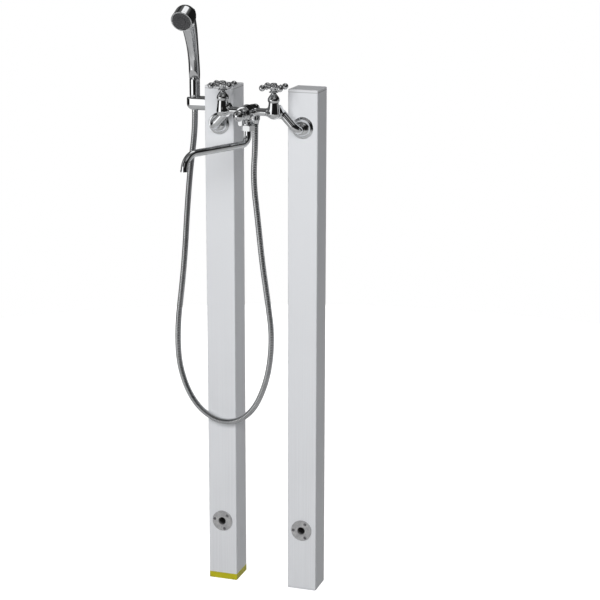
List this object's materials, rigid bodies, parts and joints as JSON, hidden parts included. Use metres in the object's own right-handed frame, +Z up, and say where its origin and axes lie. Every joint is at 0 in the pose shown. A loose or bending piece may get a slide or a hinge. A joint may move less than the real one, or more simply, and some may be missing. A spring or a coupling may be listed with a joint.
{
  "type": "garden standpipe",
  "caption": "Garden water stand on square posts, with a cross-handle mixer tap, a swinging spout and a hand shower on a flexible hose.",
  "frame": {"origin": "on the ground, midway between the axes of the two posts", "axes": "+X along the row of posts to the viewer's right, +Y to the back, +Z up"},
  "size_m": [0.3407, 0.3444, 1.382],
  "materials": {
    "post": "satin silver",
    "post_cap": "satin silver",
    "foot_plug": "matt",
    "foot_band": "semi-gloss yellow",
    "inlet_fitting": "satin plated",
    "screw": "bright",
    "riser": "drawn",
    "brass": "machined",
    "rubber": "matt",
    "spray_plate": "satin grey",
    "hose": "metallic silver",
    "chrome": "polished"
  },
  "bodies": {
    "standpipe": {"left_post": "post", "right_post": "post", "left_post_cap": "post_cap", "right_post_cap": "post_cap", "left_foot_plug": "foot_plug", "right_foot_plug": "foot_plug", "left_inlet_elbow": "inlet_fitting", "right_inlet_elbow": "inlet_fitting", "left_inlet_screws": "screw", "right_inlet_screws": "screw", "left_riser_pipe": "riser", "right_riser_pipe": "riser", "left_outlet_elbow": "brass", "right_outlet_elbow": "brass", "left_lock_nut": "brass", "right_lock_nut": "brass", "left_escutcheon": "chrome", "right_escutcheon": "chrome", "left_leg": "chrome", "right_leg": "chrome", "left_union_nut": "chrome", "right_union_nut": "chrome", "left_union_washer": "rubber", "right_union_washer": "rubber", "left_cap_nut": "chrome", "right_cap_nut": "chrome", "left_spindle_packing": "rubber", "right_spindle_packing": "rubber", "foot_band": "foot_band", "mixer_body": "chrome", "diverter_nut": "chrome", "spout_nut": "chrome", "shower_elbow": "chrome", "hose_nut": "chrome", "hose_nut_washer": "rubber", "shower_hose": "hose", "hanger": "chrome", "hanger_screws": "screw"},
    "left valve disc": {"left_jumper": "brass", "left_seat_washer": "rubber"},
    "left handle": {"left_spindle": "brass", "left_handle": "chrome", "left_handle_screw": "screw", "left_handle_cap": "chrome"},
    "right valve disc": {"right_jumper": "brass", "right_seat_washer": "rubber"},
    "right handle": {"right_spindle": "brass", "right_handle": "chrome", "right_handle_screw": "screw", "right_handle_cap": "chrome"},
    "diverter": {"diverter_plug": "brass", "diverter_knob": "chrome"},
    "spout": {"spout": "chrome", "spout_packing": "rubber"},
    "hose end": {"cone_nut": "chrome", "cone_washer": "rubber"},
    "hand shower": {"hand_shower": "chrome", "spray_plate": "spray_plate", "spray_ring": "chrome"}
  },
  "joints": [
    {"name": "left valve lift", "type": "slide", "parent": "standpipe", "child": "left valve disc", "axis": [0, 0, 1], "range_m": [0, 0.00425]},
    {"name": "left handle turn", "type": "hinge", "parent": "left valve disc", "child": "left handle", "pos_m": [-0.06, -0.1165, 1.157], "axis": [0, 0, 1], "range_deg": [0, 540]},
    {"name": "right valve lift", "type": "slide", "parent": "standpipe", "child": "right valve disc", "axis": [0, 0, 1], "range_m": [0, 0.00425]},
    {"name": "right handle turn", "type": "hinge", "parent": "right valve disc", "child": "right handle", "pos_m": [0.06, -0.1165, 1.157], "axis": [0, 0, 1], "range_deg": [0, 540]},
    {"name": "diverter turn", "type": "hinge", "parent": "standpipe", "child": "diverter", "pos_m": [0, -0.15, 1.157], "axis": [0, 1, 0], "range_deg": [0, 90]},
    {"name": "spout swing", "type": "hinge", "parent": "standpipe", "child": "spout", "pos_m": [0, -0.1165, 1.12], "axis": [0, 0, 1], "range_deg": [-65, 110]},
    {"name": "hose end lift", "type": "slide", "parent": "standpipe", "child": "hose end", "axis": [0, 0, 1], "range_m": [0, 0.04]},
    {"name": "hand shower turn", "type": "hinge", "parent": "hose end", "child": "hand shower", "pos_m": [-0.1725, 0, 1.208], "axis": [0, 0, 1], "range_deg": [-120, 120]}
  ],
  "couplings": [
    {"joint": "left valve lift", "follows": "left handle turn", "m_per_rad": 0.00044563},
    {"joint": "right valve lift", "follows": "right handle turn", "m_per_rad": 0.00044563}
  ]
}
